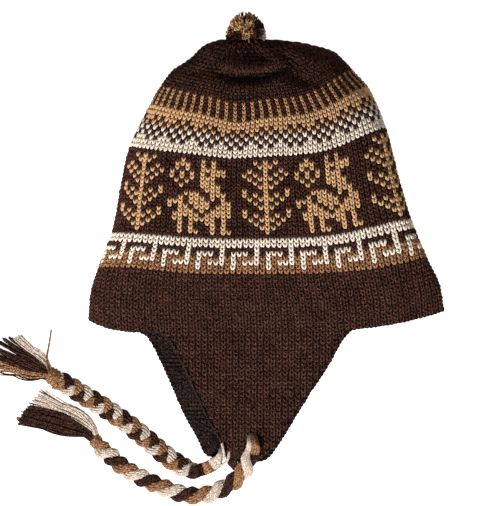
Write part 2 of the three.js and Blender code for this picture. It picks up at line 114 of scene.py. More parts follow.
# The ties' routes, from where they leave their flap to their binding, in metres
NEAR_ROUTE = [
    (-0.0104, -0.1485, 0.0177), (-0.0118, -0.157, 0.0161), (-0.014, -0.1655, 0.0147),
    (-0.0172, -0.1725, 0.0118), (-0.0218, -0.1782, 0.0086), (-0.028, -0.1834, 0.0056),
    (-0.0356, -0.1873, 0.0049), (-0.0436, -0.1902, 0.0049), (-0.0518, -0.1912, 0.0049),
    (-0.0604, -0.1902, 0.0049), (-0.07, -0.1877, 0.0049), (-0.081, -0.1833, 0.0049),
    (-0.0925, -0.1782, 0.0049), (-0.103, -0.1727, 0.0049), (-0.1112, -0.1668, 0.0049),
    (-0.1173, -0.161, 0.0049), (-0.1216, -0.1584, 0.0049), (-0.1247, -0.1547, 0.0049),
]
FAR_ROUTE = [
    (-0.0355, -0.1565, 0.0096), (-0.036, -0.1621, 0.0094), (-0.0386, -0.1669, 0.0078),
    (-0.0431, -0.1702, 0.006), (-0.0486, -0.1723, 0.0052), (-0.0558, -0.1734, 0.0049),
    (-0.0634, -0.1714, 0.0049),
    (-0.071, -0.167, 0.0049), (-0.079, -0.161, 0.0049), (-0.0872, -0.154, 0.0049),
    (-0.0954, -0.147, 0.0049), (-0.1042, -0.1402, 0.0049), (-0.1136, -0.1333, 0.0049),
    (-0.1232, -0.1267, 0.0049), (-0.1328, -0.1207, 0.0049), (-0.1418, -0.1148, 0.0049),
    (-0.1496, -0.1099, 0.0049), (-0.1555, -0.1062, 0.0049),
]

# How many times a tie's first strand has come round at each length along the route, in metres. A row
# for each strand's root: how far aside of the route it comes out of the flap and lies a little later,
# how far above it, how full the strand is there, and the length after which it is full
NEAR_TURNS = [(0.0, -0.9), (0.0318, 0.0), (0.0663, 1.0), (0.0969, 2.0), (0.1251, 3.0), (0.1513, 4.0)]
FAR_TURNS = [
    (0.0, -1.35), (0.0095, -1.125), (0.0256, -0.958), (0.0529, 0.0), (0.0785, 1.0), (0.1041, 2.0),
    (0.1297, 3.0), (0.1553, 4.0),
]
NEAR_ROOTS = [
    (-0.0008, -0.0044, 0.0014, 0.42, 0.013),
    (0.0, -0.0014, -0.002, 0.6, 0.008),
    (0.0016, 0.0016, 0.0004, 0.32, 0.019),
]
FAR_ROOTS = [
    (-0.0026, -0.0012, 0.002, 0.2, 0.011),
    (-0.003, -0.0015, -0.0022, 0.3, 0.012),
    (-0.003, -0.0018, -0.0024, 0.3, 0.012),
]
# Where a strand rides over the others, or sinks below them and is squeezed: strand, length along,
# reach, height
NEAR_CRESTS = []
FAR_CRESTS = [
    (0, 0.023, 0.0065, -0.004), (1, 0.0172, 0.004, 0.0052), (1, 0.0305, 0.0045, -0.004),
    (2, 0.0275, 0.006, 0.0035),
]
# Loose yarns at the roots, beside the braids
NEAR_LOOSE = [
    (UMBER, [(-0.0288, -0.159, 0.0075), (-0.0285, -0.1672, 0.006), (-0.0236, -0.173, 0.0035)]),
    (UMBER, [(-0.0268, -0.1592, 0.008), (-0.0264, -0.168, 0.0065), (-0.0224, -0.1738, 0.004)]),
    (UMBER, [(-0.0256, -0.1595, 0.0085), (-0.0248, -0.1672, 0.007), (-0.0211, -0.1737, 0.004)]),
    (UMBER, [(-0.0233, -0.1595, 0.009), (-0.0226, -0.1672, 0.0075), (-0.0196, -0.1737, 0.0045)]),
    (UMBER, [(-0.0211, -0.1602, 0.009), (-0.0204, -0.1665, 0.0075), (-0.0181, -0.1722, 0.0045)]),
]
FAR_LOOSE = [
    (IVORY, [(-0.0333, -0.151, 0.0085), (-0.0322, -0.157, 0.0112), (-0.0316, -0.163, 0.0105),
                  (-0.0345, -0.1675, 0.008)]),
    (IVORY, [(-0.0278, -0.1585, 0.0085), (-0.028, -0.163, 0.0105), (-0.0302, -0.1675, 0.009),
                  (-0.0345, -0.1702, 0.006)]),
]

# The knitting, row by row from the top of the crown
ROUND = 120
STRIPE_ROW = 17
GOLD_ROW = 22
FIGURE_ROW = 32
KEY_ROW = 51
PLAIN_ROW = 59
RIM_ROW = 73
CROWN_SHAPING = [(0, 14), (1, 26), (2, 40), (4, 60), (6, 72), (8, 84), (10, 96), (12, 108), (14, ROUND)]
COLUMN_SHIFT = 1.0

TREE = [
    "..X.X.X..", "...XXX...", ".X..X..X.", "X.X.X.X.X", ".X.XXX.X.", "..X.X.X..", "...XXX...",
    "X...X...X", "X.X.X.X.X", ".X.XXX.X.", "..X.X.X..", "...XXX...", "X...X...X", "X.X.X.X.X",
    ".X.XXX.X.", "..X.X.X..", "...XXX...", "....X....",
]
LLAMA = [
    "..X...X.X...", ".XXX..X.X...", ".X.X..XXXXX.", "X.X.X.X.XXX.", "X.X.X.XXX...", ".X.X..XXX...",
    "..X...XXXX..", ".......XXX..", "...XXX..XXX.", "..X.XXX.X.X.", "XXX.XXXX..XX", "X.XX.XXX.XXX",
    "..XXX.X.XXXX", ".XXXXX.XXXXX", ".XX.XXXXX.X.", "..X.X..XX.X.", "..X.X...X.X.", "..X.XX..X.XX",
]
FIGURES = [tree + "." + llama + ".." for tree, llama in zip(TREE, LLAMA)]
FIGURE_START = 4
KEY = ["WWWWWW", "WWWWWW", "WDDDDD", "WDWWWD", "WTWTTT", "WTWTWW", "TTWTTT", "TTTTTT"]
KEY_START = 2
KEY_YARNS = {"W": CREAM, "D": COCOA, "T": RUST}


class ChulloSizes(PropertyGroup):
    """Sizes of the lying cap"""

    rim_width: FloatProperty(
        name="Rim width", description="Across the flattened rim", default=0.264, unit="LENGTH"
    )
    crown_height: FloatProperty(
        name="Crown height", description="From the rim to the top of the crown", default=0.2155, unit="LENGTH"
    )
    loft: FloatProperty(
        name="Loft", description="Height of the upper wall at the middle", default=0.068, unit="LENGTH"
    )
    wall: FloatProperty(
        name="Wall", description="Thickness of the knitted wall", default=0.004, unit="LENGTH"
    )
    rest_flat: FloatProperty(
        name="Rest flat", description="How much the lower wall is pressed flat", default=0.0008, unit="LENGTH"
    )
    edge_round: FloatProperty(
        name="Edge round", description="How far the edge stands out", default=0.0012, unit="LENGTH"
    )
    flap_length: FloatProperty(
        name="Near flap length", description="From the rim to the tip", default=0.096, unit="LENGTH"
    )
    far_flap_length: FloatProperty(
        name="Far flap length", description="From the rim to the tip", default=0.0925, unit="LENGTH"
    )
    flap_width: FloatProperty(
        name="Near flap width", description="Across the near flap at the rim", default=0.142, unit="LENGTH"
    )
    far_flap_width: FloatProperty(
        name="Far flap width", description="Across the far flap at the rim", default=0.134, unit="LENGTH"
    )
    flap_shift: FloatProperty(
        name="Near flap shift", description="Its middle from the rim's middle", default=-0.008, unit="LENGTH"
    )
    far_flap_shift: FloatProperty(
        name="Far flap shift", description="Its middle from the rim's middle", default=-0.027, unit="LENGTH"
    )
    flap_gap: FloatProperty(
        name="Flap gap", description="Air between the tips of the flaps", default=0.0013, unit="LENGTH"
    )
    flap_row: FloatProperty(
        name="Flap row", description="Height of a row of a flap", default=0.00325, unit="LENGTH"
    )


class ChulloYarn(PropertyGroup):
    """Colours and thickness of the yarn"""

    cocoa: FloatVectorProperty(
        name="Cocoa", description="Dark brown yarn", subtype="COLOR", default=(0.0525, 0.0188, 0.0114)
    )
    gold: FloatVectorProperty(
        name="Gold", description="Tan yarn of the figures", subtype="COLOR", default=(0.61, 0.36, 0.178)
    )
    rust: FloatVectorProperty(
        name="Rust", description="Caramel yarn of the key band", subtype="COLOR", default=(0.29, 0.135, 0.064)
    )
    cream: FloatVectorProperty(
        name="Cream", description="Cream yarn", subtype="COLOR", default=(0.8, 0.67, 0.55)
    )
    tan: FloatVectorProperty(
        name="Tan", description="Brown tan yarn of the ties", subtype="COLOR", default=(0.265, 0.131, 0.062)
    )
    # A colour of painted shade rather than a yarn: a darker brown for the flaps' inner faces and the edge chain,
    # and, halved, for the fabric under the stitches.
    painted_shade: FloatVectorProperty(
        name="Shade", description="Dark brown yarn inside the hat", subtype="COLOR", default=(0.024, 0.0105, 0.007)
    )
    bronze: FloatVectorProperty(
        name="Bronze", description="Brown gold yarn of the stripes", subtype="COLOR", default=(0.42, 0.22, 0.1)
    )
    ivory: FloatVectorProperty(
        name="Ivory", description="Cream yarn of the ties", subtype="COLOR", default=(0.56, 0.46, 0.375)
    )
    umber: FloatVectorProperty(
        name="Umber", description="Dark brown yarn of the ties", subtype="COLOR", default=(0.036, 0.0135, 0.0078)
    )
    bulk: FloatProperty(
        name="Bulk", description="Height scale of a stitch", default=0.0036, unit="LENGTH"
    )
    unevenness: FloatProperty(
        name="Unevenness", description="How much the stitches differ", default=1.0, min=0.0, max=3.0
    )


class ChulloTies(PropertyGroup):
    """Sizes of the ties, tassels and pompom"""

    width: FloatProperty(name="Tie width", description="Across the braid", default=0.013, unit="LENGTH")
    thick: FloatProperty(name="Tie thickness", description="Through the braid", default=0.009, unit="LENGTH")
    near_fullness: FloatProperty(
        name="Near fullness", description="Its real width as a share", default=1.12, min=0.8, max=1.3
    )
    far_fullness: FloatProperty(
        name="Far fullness", description="Its real width as a share", default=1.24, min=0.8, max=1.3
    )
    near_root: FloatProperty(
        name="Near root", description="Length over which its strands gather", default=0.015, unit="LENGTH"
    )
    far_root: FloatProperty(
        name="Far root", description="Length over which its strands gather", default=0.014, unit="LENGTH"
    )
    strand_yarn: FloatProperty(
        name="Strand yarn", description="Radius of a yarn in a strand", default=0.00105, unit="LENGTH"
    )
    yarn: FloatProperty(name="Yarn", description="Radius of a cut yarn end", default=0.00075, unit="LENGTH")
    pompom_ends: IntProperty(name="Pompom ends", description="Yarn ends of the pompom", default=560)


# The surface of the lying cap

def table_column(table, columns, name, place):
    """A table's column at the places along its first column, smooth through every row."""
    keys = np.array([row[0] for row in table])
    values = np.array([row[columns.index(name)] for row in table])
    place = np.clip(place, keys[0], keys[-1])
    k = np.clip(np.searchsorted(keys, place) - 1, 0, len(keys) - 2)
    before = np.r_[0, np.arange(len(keys) - 1)]
    after = np.r_[np.arange(1, len(keys)), len(keys) - 1]
    slope = (values[after] - values[before]) / (keys[after] - keys[before])
    step = keys[k + 1] - keys[k]
    t = (place - keys[k]) / step
    rest = 1 - t
    return (
        (1 + 2 * t) * rest * rest * values[k]
        + t * rest * rest * step * slope[k]
        + t * t * (3 - 2 * t) * values[k + 1]
        - t * t * rest * step * slope[k + 1]
    )


def dents(cloth, across, loft):
    """How far the upper wall sinks."""
    depth = np.zeros(np.broadcast(cloth, across).shape)
    for place, middle, long, wide, lean, bend, share in DENT_TABLE:
        off = across - middle
        side = off / wide
        length = (cloth - place - lean * off + bend * off * off) / long
        depth += share * loft * np.exp(-side * side - length * length)
    return depth


# How many rows the knitting slips down the upper wall: middle column and width in columns of each
# slipping patch, then the slip at some rows
SLIPS = [
    (-5.5, 5.0, [(8, 0.0), (17, 1.5), (22, 1.4), (26, 0.9), (30, 0.6), (40, 0.3), (51, 0.15), (59, 0.0)]),
    (22.0, 8.0, [(6, 0.0), (17, -1.7), (30, -1.1), (51, -1.0), (59, 0.0), (66, 0.3), (73, 0.0)]),
    (-22.0, 7.0, [(45, 0.0), (51, -0.3), (59, -0.8), (66, -0.3), (73, 0.0)]),
]


def slipped(column, row):
    """The rows where the stitches really lie, since the cloth isn't stretched evenly."""
    result = row.copy()
    for middle, wide, slips in SLIPS:
        off = (column - middle + ROUND / 2) % ROUND - ROUND / 2
        marks = np.array(slips)
        result += np.interp(row, marks[:, 0], marks[:, 1], right=0.0) * np.exp(-(off / wide) ** 2)
    return result


# The columns that the right fold draws towards itself: middle and width in columns, how many columns
# they move, and the rows between which this grows and fades
DRAWN_MIDDLE = 26.0
DRAWN_WIDTH = 4.5
DRAWN_COLUMNS = 1.45
DRAWN_ROWS = [(20, 0.0), (30, 1.0), (56, 1.0), (64, 0.0)]


def drawn(column, row):
    """The columns where the stitches really lie."""
    marks = np.array(DRAWN_ROWS)
    share = np.interp(row, marks[:, 0], marks[:, 1])
    off = (column - DRAWN_MIDDLE + ROUND / 2) % ROUND - ROUND / 2
    return column + DRAWN_COLUMNS * share * np.exp(-(off / DRAWN_WIDTH) ** 2)


class Cloth:
    """Where each column and row of the knitting lies on the outside of the cap."""

    STEPS = 2

    def __init__(self, sizes):
        self.sizes = sizes
        box_low, box_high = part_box("cap")
        self.tip_y = box_low[1] + sizes.edge_round
        self.rim_y = self.tip_y + sizes.flap_length
        self.top_y = self.rim_y + sizes.crown_height
        rows = np.arange(RIM_ROW * self.STEPS + 1) / self.STEPS
        self.grid = self.crown(rows / RIM_ROW)
        self.rim = self.grid[-1]
        self.reach = self.reaches(self.rim[:, 0])

    def ring_points(self, cloth, across, upper):
        """Points of the rings at the shares cloth, one row of across for each."""
        s = self.sizes
        half_rim = s.rim_width / 2
        ring = {n: table_column(RING_TABLE, RING_COLUMNS, n, cloth)[:, None] for n in RING_COLUMNS[1:]}
        left = half_rim * ring["left"]
        right = half_rim * ring["right"]
        thick = s.loft * ring["loft"]
        middle_z = s.loft * ring["lift"] + thick / 2
        if upper:
            bow = np.sqrt(np.clip(1 - np.abs(across) ** UPPER_BELLY, 0, 1))
            z = middle_z + (thick / 2 - dents(cloth[:, None], across, s.loft)) * bow
        else:
            bow = np.sqrt(np.clip(1 - np.abs(across) ** LOWER_BELLY, 0, 1))
            z = np.maximum(0, middle_z - thick / 2 * bow - s.rest_flat)
        share = (across + 1) / 2
        rise = s.crown_height * (ring["rise_left"] * (1 - share) + ring["rise_right"] * share)
        power = np.where(across < 0, ring["hook"], SAG)
        y = self.top_y - s.crown_height * ring["down"] + rise * np.abs(across) ** power
        x = (left + right) / 2 + (right - left) / 2 * across
        return np.stack(np.broadcast_arrays(x, y, z), axis=-1)

    def wall_points(self, cloth, shares, upper):
        """Points that stand evenly along each ring's wall."""
        fine = -np.cos(np.linspace(0, math.pi, 401))
        points = self.ring_points(cloth, np.broadcast_to(fine, (len(cloth), fine.size)), upper)
        steps = np.linalg.norm(np.diff(points, axis=1), axis=2)
        along = np.concatenate([np.zeros((len(cloth), 1)), np.cumsum(steps, axis=1)], axis=1)
        places = np.array([np.interp(shares * line[-1], line, fine) for line in along])
        return self.ring_points(cloth, places, upper)

    def crown(self, cloth):
        """The whole rings, from the left fold over the upper wall and back under the lower one."""
        half = ROUND // 2 * self.STEPS
        shares = np.arange(half) / half
        upper = self.wall_points(cloth, shares, True)
        lower = self.wall_points(cloth, 1 - shares, False)
        return np.concatenate([upper, lower], axis=1)

    def reaches(self, x):
        """How far the flaps reach below each column of the rim."""
        s = self.sizes
        half = len(x) // 2
        near = (x[:half] - s.flap_shift) / s.flap_width + 0.5
        far = (x[half:] - s.far_flap_shift) / s.far_flap_width + 0.5
        reach = np.concatenate([
            s.flap_length * self.flap_share(near),
            s.far_flap_length * self.flap_share(far),
        ])
        return reach

    @staticmethod
    def flap_share(across):
        inside = (across > 0) & (across < 1)
        return np.where(inside, np.clip(table_column(FLAP_TABLE, FLAP_COLUMNS, "reach", across), 0, 1), 0)

    def blend(self, values, column):
        """Values kept for each grid column, at any column of the knitting."""
        place = ((np.asarray(column, float) + ROUND / 4) % ROUND) * self.STEPS
        low = np.floor(place).astype(int)
        t = (place - low).reshape(place.shape + (1,) * (values.ndim - 1))
        size = len(values)
        return values[low % size] * (1 - t) + values[(low + 1) % size] * t

    def place(self, column, row):
        """Points on the outside, for any columns and rows, flap rows among them."""
        s = self.sizes
        row = np.asarray(row, float)
        column = drawn(np.asarray(column, float), row)
        row = slipped(column, row)
        around = ((column + ROUND / 4) % ROUND) * self.STEPS
        side = np.floor(around).astype(int)
        t = (around - side)[..., None]
        size = self.grid.shape[1]
        up = np.clip(row, 0, RIM_ROW) * self.STEPS
        high = np.minimum(np.floor(up).astype(int), RIM_ROW * self.STEPS - 1)
        u = (up - high)[..., None]
        a = self.grid[high, side % size] * (1 - t) + self.grid[high, (side + 1) % size] * t
        b = self.grid[high + 1, side % size] * (1 - t) + self.grid[high + 1, (side + 1) % size] * t
        point = a * (1 - u) + b * u
        drop = np.clip(row - RIM_ROW, 0, None) * s.flap_row
        upper = (column + ROUND / 4) % ROUND < ROUND / 2
        fall = np.clip(1 - drop / s.flap_length, 0, 1) ** FLAP_FALL
        rest = 2 * s.wall + s.flap_gap
        point[..., 1] -= drop
        falling = upper & (drop > 0)
        point[..., 2] = np.where(falling, rest + (point[..., 2] - rest) * fall, point[..., 2])
        return point

    def frames(self, column, row, width=1.0):
        """Places of stitches, with the vectors of one stitch across and one row down, and the way out."""
        centre = self.place(column, row)
        across = (self.place(column + width / 2, row) - self.place(column - width / 2, row))
        top = np.maximum(row - 0.5, 0.02)
        down = self.place(column, row + 0.5) - self.place(column, top)
        out = np.cross(down, across)
        out /= np.linalg.norm(out, axis=1)[:, None] + 1e-12
        return centre, across, down, out


# Making meshes

class Heap:
    """Triangles of many small closed bodies that become one mesh."""

    def __init__(self):
        self.points = []
        self.triangles = []
        self.uvs = []
        self.materials = []
        self.count = 0

    def add(self, points, triangles, uvs, material):
        self.points.append(points)
        self.triangles.append(triangles + self.count)
        self.uvs.append(uvs)
        self.materials.append(np.broadcast_to(material, len(triangles)))
        self.count += len(points)

    def build(self, name, materials):
        points = np.concatenate(self.points)
        triangles = np.concatenate(self.triangles)
        mesh = bpy.data.meshes.new(name)
        mesh.vertices.add(len(points))
        mesh.vertices.foreach_set("co", points.astype(np.float32).ravel())
        mesh.loops.add(triangles.size)
        mesh.loops.foreach_set("vertex_index", triangles.astype(np.int32).ravel())
        mesh.polygons.add(len(triangles))
        mesh.polygons.foreach_set("loop_start", np.arange(0, triangles.size, 3, dtype=np.int32))
        mesh.polygons.foreach_set("loop_total", np.full(len(triangles), 3, dtype=np.int32))
        mesh.polygons.foreach_set("material_index", np.concatenate(self.materials).astype(np.int32))
        mesh.polygons.foreach_set("use_smooth", np.ones(len(triangles), dtype=bool))
        mesh.uv_layers.new(name="yarn").data.foreach_set(
            "uv", np.concatenate(self.uvs).astype(np.float32).ravel()
        )
        for material in materials:
            mesh.materials.append(material)
        mesh.update()
        mesh.validate()
        piece = bpy.data.objects.new(name, mesh)
        bpy.context.collection.objects.link(piece)
        return piece


def lofted(rings, sides):
    """Triangles and their uvs of a body of rings of points between two end points.
    The points are the first end, the rings in order, and the last end."""
    triangles = []
    uvs = []
    last = 1 + rings * sides
    for s in range(sides):
        n = (s + 1) % sides
        left = s / sides
        right = (s + 1) / sides
        first_v = 1 / (rings + 1)
        triangles.append((0, 1 + n, 1 + s))
        uvs += [(left, 0.0), (right, first_v), (left, first_v)]
        for k in range(rings - 1):
            a = 1 + k * sides
            b = a + sides
            v = (k + 1) / (rings + 1)
            w = (k + 2) / (rings + 1)
            triangles += [(a + s, a + n, b + n), (a + s, b + n, b + s)]
            uvs += [(left, v), (right, v), (right, w), (left, v), (right, w), (left, w)]
        a = 1 + (rings - 1) * sides
        v = rings / (rings + 1)
        triangles.append((last, a + s, a + n))
        uvs += [(left, 1.0), (left, v), (right, v)]
    return np.array(triangles), np.array(uvs)


# One leg of a stitch: across, down and out of its middle line, and its half width and half height
LEG_SIDES = 5
LEG_FOOT = (0.05, 0.84, -0.2)
LEG_RINGS = [
    (0.12, 0.47, 0.05, 0.15, 0.22),
    (0.24, 0.0, 0.08, 0.2, 0.27),
    (0.32, -0.45, -0.04, 0.175, 0.22),
]
LEG_HEAD = (0.36, -0.86, -0.5)


def leg_template():
    """Points of the right leg in shares across, down and out."""
    points = [LEG_FOOT]
    for across, down, out, half_width, half_height in LEG_RINGS:
        for s in range(LEG_SIDES):
            angle = 2 * math.pi * s / LEG_SIDES
            shift = half_width * math.cos(angle)
            points.append((across + shift, down + 0.3 * shift, out + half_height * math.sin(angle)))
    points.append(LEG_HEAD)
    return np.array(points)


STITCH_TOP = 0.3


def add_stitches(heap, frames, yarn, colours, depth, rng, floor=None):
    """Adds the two legs of every stitch. depth is how far the legs' tops lie under the surface."""
    centre, across, down, out = frames
    count = len(centre)
    wobble = yarn.unevenness
    along = rng.normal(0, 0.035 * wobble, (count, 1))
    aside = rng.normal(0, 0.03 * wobble, (count, 1))
    size = 1 + rng.normal(0, 0.05 * wobble, (count, 1, 1))
    height = rng.normal(0, 0.00012 * wobble, (count, 1))
    centre = centre + down * along + across * aside
    centre = centre + out * (height - depth - STITCH_TOP * yarn.bulk)
    right = leg_template()
    triangles, uvs = lofted(len(LEG_RINGS), LEG_SIDES)
    for flip in (1, -1):
        leg = right * np.array([flip, 1, 1])
        way = triangles if flip == 1 else triangles[:, ::-1]
        leg_uvs = uvs if flip == 1 else uvs.reshape(-1, 3, 2)[:, ::-1].reshape(-1, 2)
        tilt = rng.normal(0, 0.03 * wobble, (count, 1, 1))
        shares = leg[None] * size
        points = (
            centre[:, None]
            + (shares[..., :1] + tilt * shares[..., 1:2]) * across[:, None]
            + shares[..., 1:2] * down[:, None]
            + shares[..., 2:3] * yarn.bulk * out[:, None]
        )
        if floor is not None:
            points[..., 2] = np.maximum(points[..., 2], floor)
        each = len(right)
        starts = np.arange(count)[:, None, None] * each
        heap.add(
            points.reshape(-1, 3),
            (way[None] + starts).reshape(-1, 3),
            np.tile(leg_uvs, (count, 1)),
            np.repeat(colours, len(way)),
        )


def curve_points(route, step):
    """Points at even steps along a smooth curve through the route, and its length."""
    control = np.array(route)
    ends = np.vstack([2 * control[0] - control[1], control, 2 * control[-1] - control[-2]])
    fine = []
    for k in range(1, len(ends) - 2):
        p0, p1, p2, p3 = ends[k - 1 : k + 3]
        for t in np.linspace(0, 1, 24, endpoint=False):
            fine.append(
                0.5 * (2 * p1 + (p2 - p0) * t + (2 * p0 - 5 * p1 + 4 * p2 - p3) * t * t
                       + (3 * p1 - p0 - 3 * p2 + p3) * t ** 3)
            )
    fine = np.array(fine + [control[-1]])
    along = np.r_[0, np.cumsum(np.linalg.norm(np.diff(fine, axis=0), axis=1))]
    places = np.linspace(0, along[-1], max(2, int(round(along[-1] / step)) + 1))
    return np.stack([np.interp(places, along, fine[:, i]) for i in range(3)], axis=1), along[-1]


def tangents(points):
    """Directions along a line of points."""
    ways = np.gradient(points, axis=0)
    return ways / (np.linalg.norm(ways, axis=1)[:, None] + 1e-12)


def carried_frames(points):
    """Two vectors across a line of points, turned as little as can be from one point to the next."""
    ways = tangents(points)
    start = np.array((0.0, 0.0, 1.0)) if abs(ways[0][2]) < 0.9 else np.array((1.0, 0.0, 0.0))
    sides = np.empty_like(points)
    side = np.cross(ways[0], start)
    for i, way in enumerate(ways):
        side = side - way * side.dot(way)
        side /= np.linalg.norm(side)
        sides[i] = side
    return sides, np.cross(sides, ways)


STRAND_YARNS = 11
PLY_SIDES = 5
PLY_WAIST = 0.14
PLY_TURN = 0.0052


def add_yarn(heap, points, radius, material, taper=1.0, phase=0.0):
    """Adds a two-ply yarn along a line of points: a waisted section that twists as it goes."""
    sides, rises = carried_frames(points)
    along = np.r_[0, np.cumsum(np.linalg.norm(np.diff(points, axis=0), axis=1))]
    angle = 2 * math.pi * np.arange(PLY_SIDES) / PLY_SIDES
    turn = phase + 2 * math.pi * along / PLY_TURN
    size = radius * (1 - (1 - taper) * (along / along[-1]) ** 4)
    width = 1 - PLY_WAIST * (1 - np.abs(np.cos(angle[None] - turn[:, None] / 2)))
    spread = size[:, None] * width
    rings = (
        points[:, None]
        + sides[:, None] * (np.cos(angle) * spread)[..., None]
        + rises[:, None] * (np.sin(angle) * spread)[..., None]
    )
    ways = tangents(points)
    first = points[0] - ways[0] * radius * 0.3
    last = points[-1] + ways[-1] * radius * 0.3
    triangles, uvs = lofted(len(points), PLY_SIDES)
    uvs = uvs * np.array([1.0, along[-1] / PLY_TURN])
    heap.add(np.vstack([first[None], rings.reshape(-1, 3), last[None]]), triangles, uvs, material)


# Materials

def wool(name, colour, ply=0.5):
    """Woollen yarn: heathered colour with painted highlights and shade in its flecks, fine twist and fibres in the
    bump, and a faint sheen.
    """
    pale = min(1.0, max(colour) * 1.6)
    material = bpy.data.materials.new(name)
    material.use_nodes = True
    nodes = material.node_tree.nodes
    links = material.node_tree.links
    shader = nodes["Principled BSDF"]
    shader.inputs["Roughness"].default_value = 0.95
    shader.inputs["Specular IOR Level"].default_value = 0.08
    shader.inputs["Sheen Weight"].default_value = 0.06
    shader.inputs["Sheen Roughness"].default_value = 0.5
    shader.inputs["Sheen Tint"].default_value = (*[min(1, c * 2 + 0.04) for c in colour], 1)
    place = nodes.new("ShaderNodeTexCoord")

    heather_and_painted_light = nodes.new("ShaderNodeTexNoise")
    heather_and_painted_light.inputs["Scale"].default_value = 1150
    heather_and_painted_light.inputs["Detail"].default_value = 2
    heather_and_painted_light.inputs["Roughness"].default_value = 0.6
    clouds = nodes.new("ShaderNodeTexNoise")
    clouds.inputs["Scale"].default_value = 85
    clouds.inputs["Detail"].default_value = 2
    blend = nodes.new("ShaderNodeMath")
    blend.operation = "MULTIPLY_ADD"
    blend.inputs[1].default_value = 0.12
    # The ramp's stops: partly the yarn's own heather, partly painted shade in the dark stop and a painted
    # highlight in the light stop's grey lift.
    ramp = nodes.new("ShaderNodeValToRGB")
    stops = ramp.color_ramp.elements
    stops[0].position = 0.45
    stops[0].color = (*[c * (0.02 + 0.6 * pale) for c in colour], 1)
    stops[1].position = 0.69
    stops[1].color = (*[min(1, c * (2.2 - 0.9 * pale) + 0.014) for c in colour], 1)
    middle = stops.new(0.565)
    middle.color = (*[c * (0.76 + 0.14 * pale) for c in colour], 1)
    links.new(place.outputs["Object"], heather_and_painted_light.inputs["Vector"])
    links.new(place.outputs["Object"], clouds.inputs["Vector"])
    links.new(clouds.outputs["Fac"], blend.inputs[0])
    links.new(heather_and_painted_light.outputs["Fac"], blend.inputs[2])
    links.new(blend.outputs["Value"], ramp.inputs["Fac"])
    links.new(ramp.outputs["Color"], shader.inputs["Base Color"])

    twist = nodes.new("ShaderNodeTexWave")
    twist.wave_type = "BANDS"
    twist.bands_direction = "DIAGONAL"
    twist.inputs["Scale"].default_value = 0.8
    twist.inputs["Distortion"].default_value = 0.8
    fibres = nodes.new("ShaderNodeTexNoise")
    fibres.inputs["Scale"].default_value = 2600
    fibres.inputs["Detail"].default_value = 2
    twist_bump = nodes.new("ShaderNodeBump")
    twist_bump.inputs["Strength"].default_value = ply
    twist_bump.inputs["Distance"].default_value = 0.0005
    fibre_bump = nodes.new("ShaderNodeBump")
    fibre_bump.inputs["Strength"].default_value = 0.6
    fibre_bump.inputs["Distance"].default_value = 0.0003
    links.new(place.outputs["UV"], twist.inputs["Vector"])
    links.new(place.outputs["Object"], fibres.inputs["Vector"])
    links.new(twist.outputs["Fac"], twist_bump.inputs["Height"])
    links.new(fibres.outputs["Fac"], fibre_bump.inputs["Height"])
    links.new(twist_bump.outputs["Normal"], fibre_bump.inputs["Normal"])
    links.new(fibre_bump.outputs["Normal"], shader.inputs["Normal"])
    return material


def yarns(colours):
    """The yarn materials in the order of the yarns' numbers, made once."""
    made = []
    for name in ("cocoa", "gold", "rust", "cream", "tan", "painted_shade", "bronze", "ivory", "umber"):
        material = bpy.data.materials.get(f"{name}_wool")
        made.append(material or wool(f"{name}_wool", tuple(getattr(colours, name))))
    return made


def painted_shadow_lining(colours):
    """The back of the fabric, darkened as painted shade for the gaps between the stitches and the inside of the
    hat, with level ridges where the yarns run along the rows.
    """
    material = wool("painted_shadow_lining_wool", tuple(0.5 * c for c in colours.painted_shade), ply=0.0)
    nodes = material.node_tree.nodes
    links = material.node_tree.links
    ridges = nodes.new("ShaderNodeTexWave")
    ridges.wave_type = "BANDS"
    ridges.bands_direction = "Y"
    ridges.inputs["Scale"].default_value = 105
    ridges.inputs["Distortion"].default_value = 2.2
    ridges.inputs["Detail Scale"].default_value = 3
    bump = nodes.new("ShaderNodeBump")
    bump.inputs["Strength"].default_value = 0.9
    bump.inputs["Distance"].default_value = 0.001
    place = next(n for n in nodes if n.type == "TEX_COORD")
    links.new(place.outputs["Object"], ridges.inputs["Vector"])
    links.new(ridges.outputs["Fac"], bump.inputs["Height"])
    first = next(n for n in nodes if n.type == "BUMP" and not n.inputs["Normal"].is_linked)
    links.new(bump.outputs["Normal"], first.inputs["Normal"])
    return material


def show(piece, *nodes, slot):
    """Lets a piece ride on the hat and stand for its solids; slot is not used."""
    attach(piece, BODY)
    if nodes:
        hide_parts(*nodes)
    return piece


# The knitted pieces

def chart(column, row):
    """The yarn of each stitch of the cap."""
    column = np.asarray(column)
    row = np.asarray(row)
    even = column % 2 == 0
    drip = column % 6 == 3
    colour = np.full(column.shape, COCOA)
    colour[(row >= STRIPE_ROW) & (row < GOLD_ROW) & ~even] = BRONZE
    band = row - GOLD_ROW
    colour[(band == 0) | (band == 1)] = GOLD
    colour[(band == 2) & (even | drip)] = GOLD
    colour[(band == 3) & ~even] = GOLD
    colour[(band == 4) & even] = CREAM
    colour[(band == 5) & ~even] = CREAM
    colour[(band == 6) & (even | drip)] = CREAM
    colour[(band == 7) | (band == 8)] = CREAM
    for k, line in enumerate(FIGURES):
        worn = np.array([c == "X" for c in line])
        here = row == FIGURE_ROW + k
        colour[here & worn[(column + FIGURE_START) % len(line)]] = GOLD
    for k, line in enumerate(KEY):
        worn = np.array([KEY_YARNS[c] for c in line])
        here = row == KEY_ROW + k
        colour = np.where(here, worn[(column + KEY_START) % len(line)], colour)
    return colour


